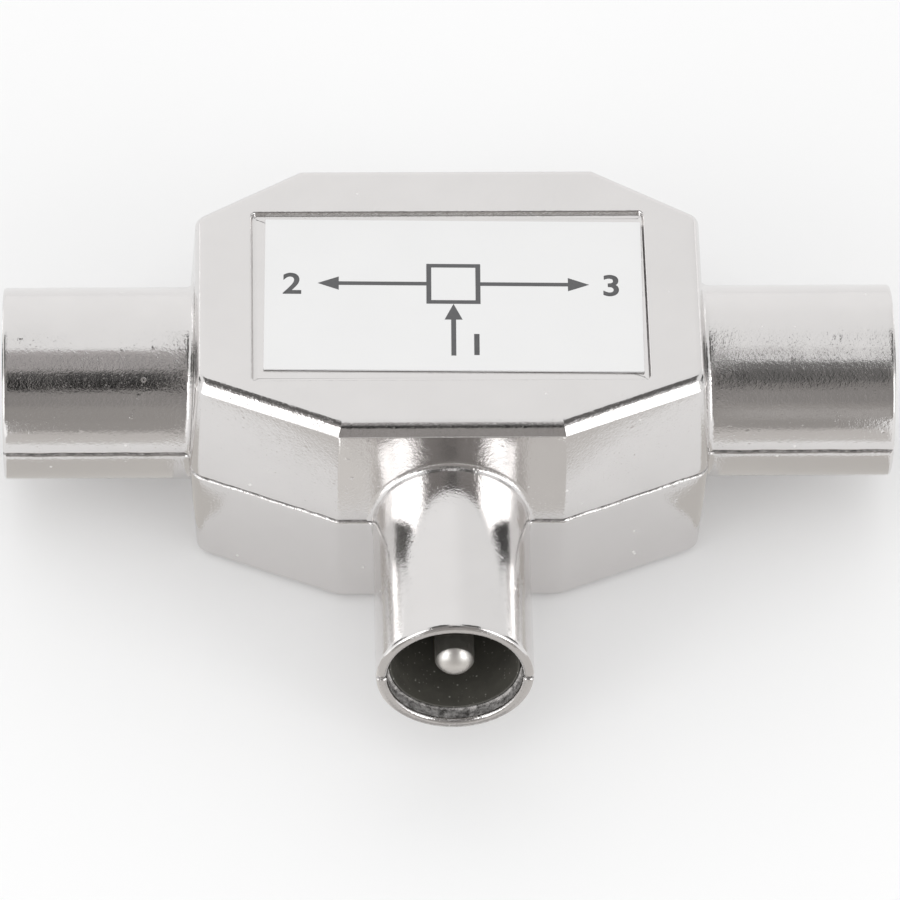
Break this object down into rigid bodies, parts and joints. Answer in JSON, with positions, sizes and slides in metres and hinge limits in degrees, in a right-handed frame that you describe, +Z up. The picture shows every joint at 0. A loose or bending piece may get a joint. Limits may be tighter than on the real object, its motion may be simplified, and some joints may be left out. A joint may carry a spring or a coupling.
{
  "type": "rf power splitter",
  "caption": "Die-cast T-shaped aerial splitter: a flat eight-sided body with a round socket at each side and a coaxial plug in front.",
  "frame": {"origin": "on the flat underside, straight below the point where the socket axis crosses the plug axis", "axes": "+X along the socket axis to the right, the plug points along -Y, +Z up out of the labelled face"},
  "size_m": [0.0546, 0.0351, 0.0159],
  "materials": {
    "nickel_plated_zinc": "satin nickel plate on die-cast zinc",
    "label_vinyl": "semi-matt white vinyl",
    "black_plastic": "moulded, glossy",
    "nickel_plated_brass": "turned and nickel plated",
    "board_laminate": "phenolic laminate",
    "ferrite": "matt grey ferrite",
    "enamelled_copper": "enamelled copper wire",
    "ceramic_body": "tan ceramic chip",
    "resistor_coat": "beige lacquer",
    "solder": "bright solder",
    "spring_bronze": "bronze strip"
  },
  "bodies": {
    "root": {"upper_shell": "nickel_plated_zinc", "lower_shell": "nickel_plated_zinc", "face_label": "label_vinyl", "plug_insulator": "black_plastic", "plug_pin": "nickel_plated_brass", "left_socket_insulator": "black_plastic", "right_socket_insulator": "black_plastic", "left_socket_contact": "nickel_plated_brass", "right_socket_contact": "nickel_plated_brass", "circuit_board": "board_laminate", "matching_core": "ferrite", "splitter_core": "ferrite", "matching_winding": "enamelled_copper", "splitter_winding": "enamelled_copper", "balance_resistor": "resistor_coat", "input_capacitor": "ceramic_body", "left_output_capacitor": "ceramic_body", "right_output_capacitor": "ceramic_body", "input_solder": "solder", "left_output_solder": "solder", "right_output_solder": "solder", "earth_spring": "spring_bronze"}
  },
  "joints": []
}
